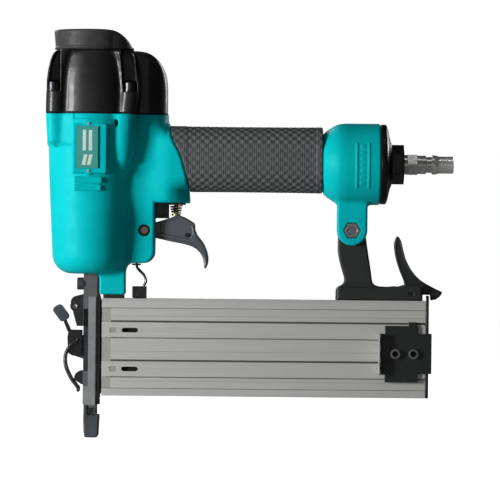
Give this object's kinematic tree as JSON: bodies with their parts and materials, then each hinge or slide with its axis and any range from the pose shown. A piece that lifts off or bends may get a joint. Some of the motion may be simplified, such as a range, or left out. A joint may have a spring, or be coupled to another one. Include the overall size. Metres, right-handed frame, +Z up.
{
  "type": "flooring nailer",
  "caption": "Pneumatic flooring nailer with a vertical drive barrel, straight grip, slide-open magazine, hook trigger, sprung contact tip and a lever-latched nose door.",
  "frame": {"origin": "centre of the nose tip's face, on the driver's axis", "axes": "+Z up the driver's axis, away from the work; +X back along the grip to the air inlet; -Y is the side with the nail windows"},
  "size_m": [0.2851, 0.0642, 0.2858],
  "materials": {
    "teal_paint": "gloss paint on cast aluminium",
    "black_paint": "gloss black paint on cast aluminium",
    "black_plastic": "satin black",
    "deflector_plastic": "matte",
    "rubber": "matte, patterned for grip",
    "soft_rubber": "matte",
    "seal_rubber": "smooth",
    "alloy": "satin, clear anodised",
    "cast_alloy": "turned",
    "nose_steel": "dark phosphated steel",
    "dark_steel": "black oxide",
    "bright_steel": "ground",
    "nickel": "nickel plated",
    "brass": "turned",
    "trigger_alloy": "satin dark blue-grey",
    "plate": "printed plate with plain bars"
  },
  "bodies": {
    "tool": {"housing": "teal_paint", "cylinder_cap": "black_paint", "cap_gasket": "seal_rubber", "cap_screws": "dark_steel", "deflector_screw": "dark_steel", "cylinder_sleeve": "cast_alloy", "sleeve_seals": "seal_rubber", "bumper": "soft_rubber", "head_valve_spring": "bright_steel", "piston_stop": "soft_rubber", "grip_sleeve": "rubber", "end_cap": "black_paint", "end_cap_seal": "seal_rubber", "inlet_bushing": "black_paint", "air_plug": "nickel", "trigger_valve_body": "black_plastic", "valve_spring": "dark_steel", "trigger_pin": "dark_steel", "trigger_pin_bushes": "soft_rubber", "driver_guide": "nose_steel", "nose_screws": "dark_steel", "door_pin": "dark_steel", "contact_spring": "bright_steel", "magazine_body": "alloy", "pusher_spring": "bright_steel", "rear_arm": "black_paint", "arm_bolt": "dark_steel", "arm_nut": "dark_steel", "arm_base_screw": "dark_steel", "front_spacer": "black_plastic", "release_pin": "dark_steel", "side_plate": "plate", "plate_rivets": "bright_steel"},
    "deflector": {"exhaust_deflector": "deflector_plastic"},
    "piston_body": {"piston": "cast_alloy", "piston_ring": "seal_rubber", "driver_blade": "bright_steel"},
    "head_valve_body": {"head_valve": "cast_alloy"},
    "trigger_body": {"trigger": "trigger_alloy", "finger_pin": "dark_steel"},
    "finger_body": {"trigger_finger": "bright_steel"},
    "stem_body": {"valve_stem": "brass"},
    "contact_body": {"contact_foot": "nose_steel", "contact_arm": "dark_steel", "contact_wire": "dark_steel", "no_mar_tip": "soft_rubber"},
    "door_body": {"nose_door": "nose_steel", "latch_pivot": "dark_steel"},
    "latch_body": {"latch_lever": "dark_steel", "latch_pad": "soft_rubber"},
    "bail_body": {"latch_bail": "dark_steel"},
    "release_body": {"release_lever": "black_plastic", "release_spring": "bright_steel"},
    "sliding_magazine": {"magazine_cover": "alloy", "end_plate": "dark_steel", "slide_bracket": "black_plastic", "bracket_screws": "dark_steel", "pusher_rod": "bright_steel"},
    "pusher_body": {"pusher": "bright_steel"}
  },
  "joints": [
    {"name": "deflector_spin", "type": "hinge", "parent": "tool", "child": "deflector", "pos_m": [0, 0, 0.278], "axis": [0, 0, 1], "continuous": true},
    {"name": "piston_slide", "type": "slide", "parent": "tool", "child": "piston_body", "axis": [0, 0, 1], "range_m": [-0.098, 0]},
    {"name": "head_valve_slide", "type": "slide", "parent": "tool", "child": "head_valve_body", "axis": [0, 0, 1], "range_m": [0, 0.004], "stiffness_N_per_m": 1500, "springref_m": -0.003, "deforming": ["head_valve_spring"]},
    {"name": "trigger_pivot", "type": "hinge", "parent": "tool", "child": "trigger_body", "pos_m": [0.0371, 0, 0.1453], "axis": [0, -1, 0], "range_deg": [0, 9], "stiffness_Nm_per_rad": 0.6, "springref_deg": -8.59},
    {"name": "finger_pivot", "type": "hinge", "parent": "trigger_body", "child": "finger_body", "pos_m": [0.0673, 0, 0.1422], "axis": [0, 1, 0], "range_deg": [0, 4], "stiffness_Nm_per_rad": 0.05, "springref_deg": -5.73},
    {"name": "valve_stem_slide", "type": "slide", "parent": "tool", "child": "stem_body", "axis": [0, 0, 1], "range_m": [0, 0.0036], "deforming": ["valve_spring"]},
    {"name": "contact_slide", "type": "slide", "parent": "tool", "child": "contact_body", "axis": [0, 0, 1], "range_m": [0, 0.005], "stiffness_N_per_m": 600, "springref_m": -0.008, "deforming": ["contact_spring"]},
    {"name": "nose_door_hinge", "type": "hinge", "parent": "tool", "child": "door_body", "pos_m": [-0.0105, 0, 0.092], "axis": [0, 1, 0], "range_deg": [0, 45]},
    {"name": "latch_hinge", "type": "hinge", "parent": "door_body", "child": "latch_body", "pos_m": [-0.0132, 0, 0.0611], "axis": [0, -1, 0], "range_deg": [0, 150]},
    {"name": "bail_hinge", "type": "hinge", "parent": "latch_body", "child": "bail_body", "pos_m": [-0.0095, 0, 0.0684], "axis": [0, -1, 0], "range_deg": [-152, 0]},
    {"name": "release_pivot", "type": "hinge", "parent": "tool", "child": "release_body", "pos_m": [0.224, 0, 0.1024], "axis": [0, -1, 0], "range_deg": [0, 14], "stiffness_Nm_per_rad": 0.3, "springref_deg": -11.46},
    {"name": "magazine_slide", "type": "slide", "parent": "tool", "child": "sliding_magazine", "axis": [1, 0, 0], "range_m": [0, 0.2]},
    {"name": "pusher_slide", "type": "slide", "parent": "sliding_magazine", "child": "pusher_body", "axis": [1, 0, 0], "range_m": [0, 0.17], "stiffness_N_per_m": 20, "springref_m": -0.15, "deforming": ["pusher_spring"]}
  ],
  "couplings": [
    {"joint": "valve_stem_slide", "follows": "trigger_pivot", "m_per_rad": 0.022},
    {"joint": "bail_hinge", "follows": "latch_hinge", "ratio": -1}
  ]
}
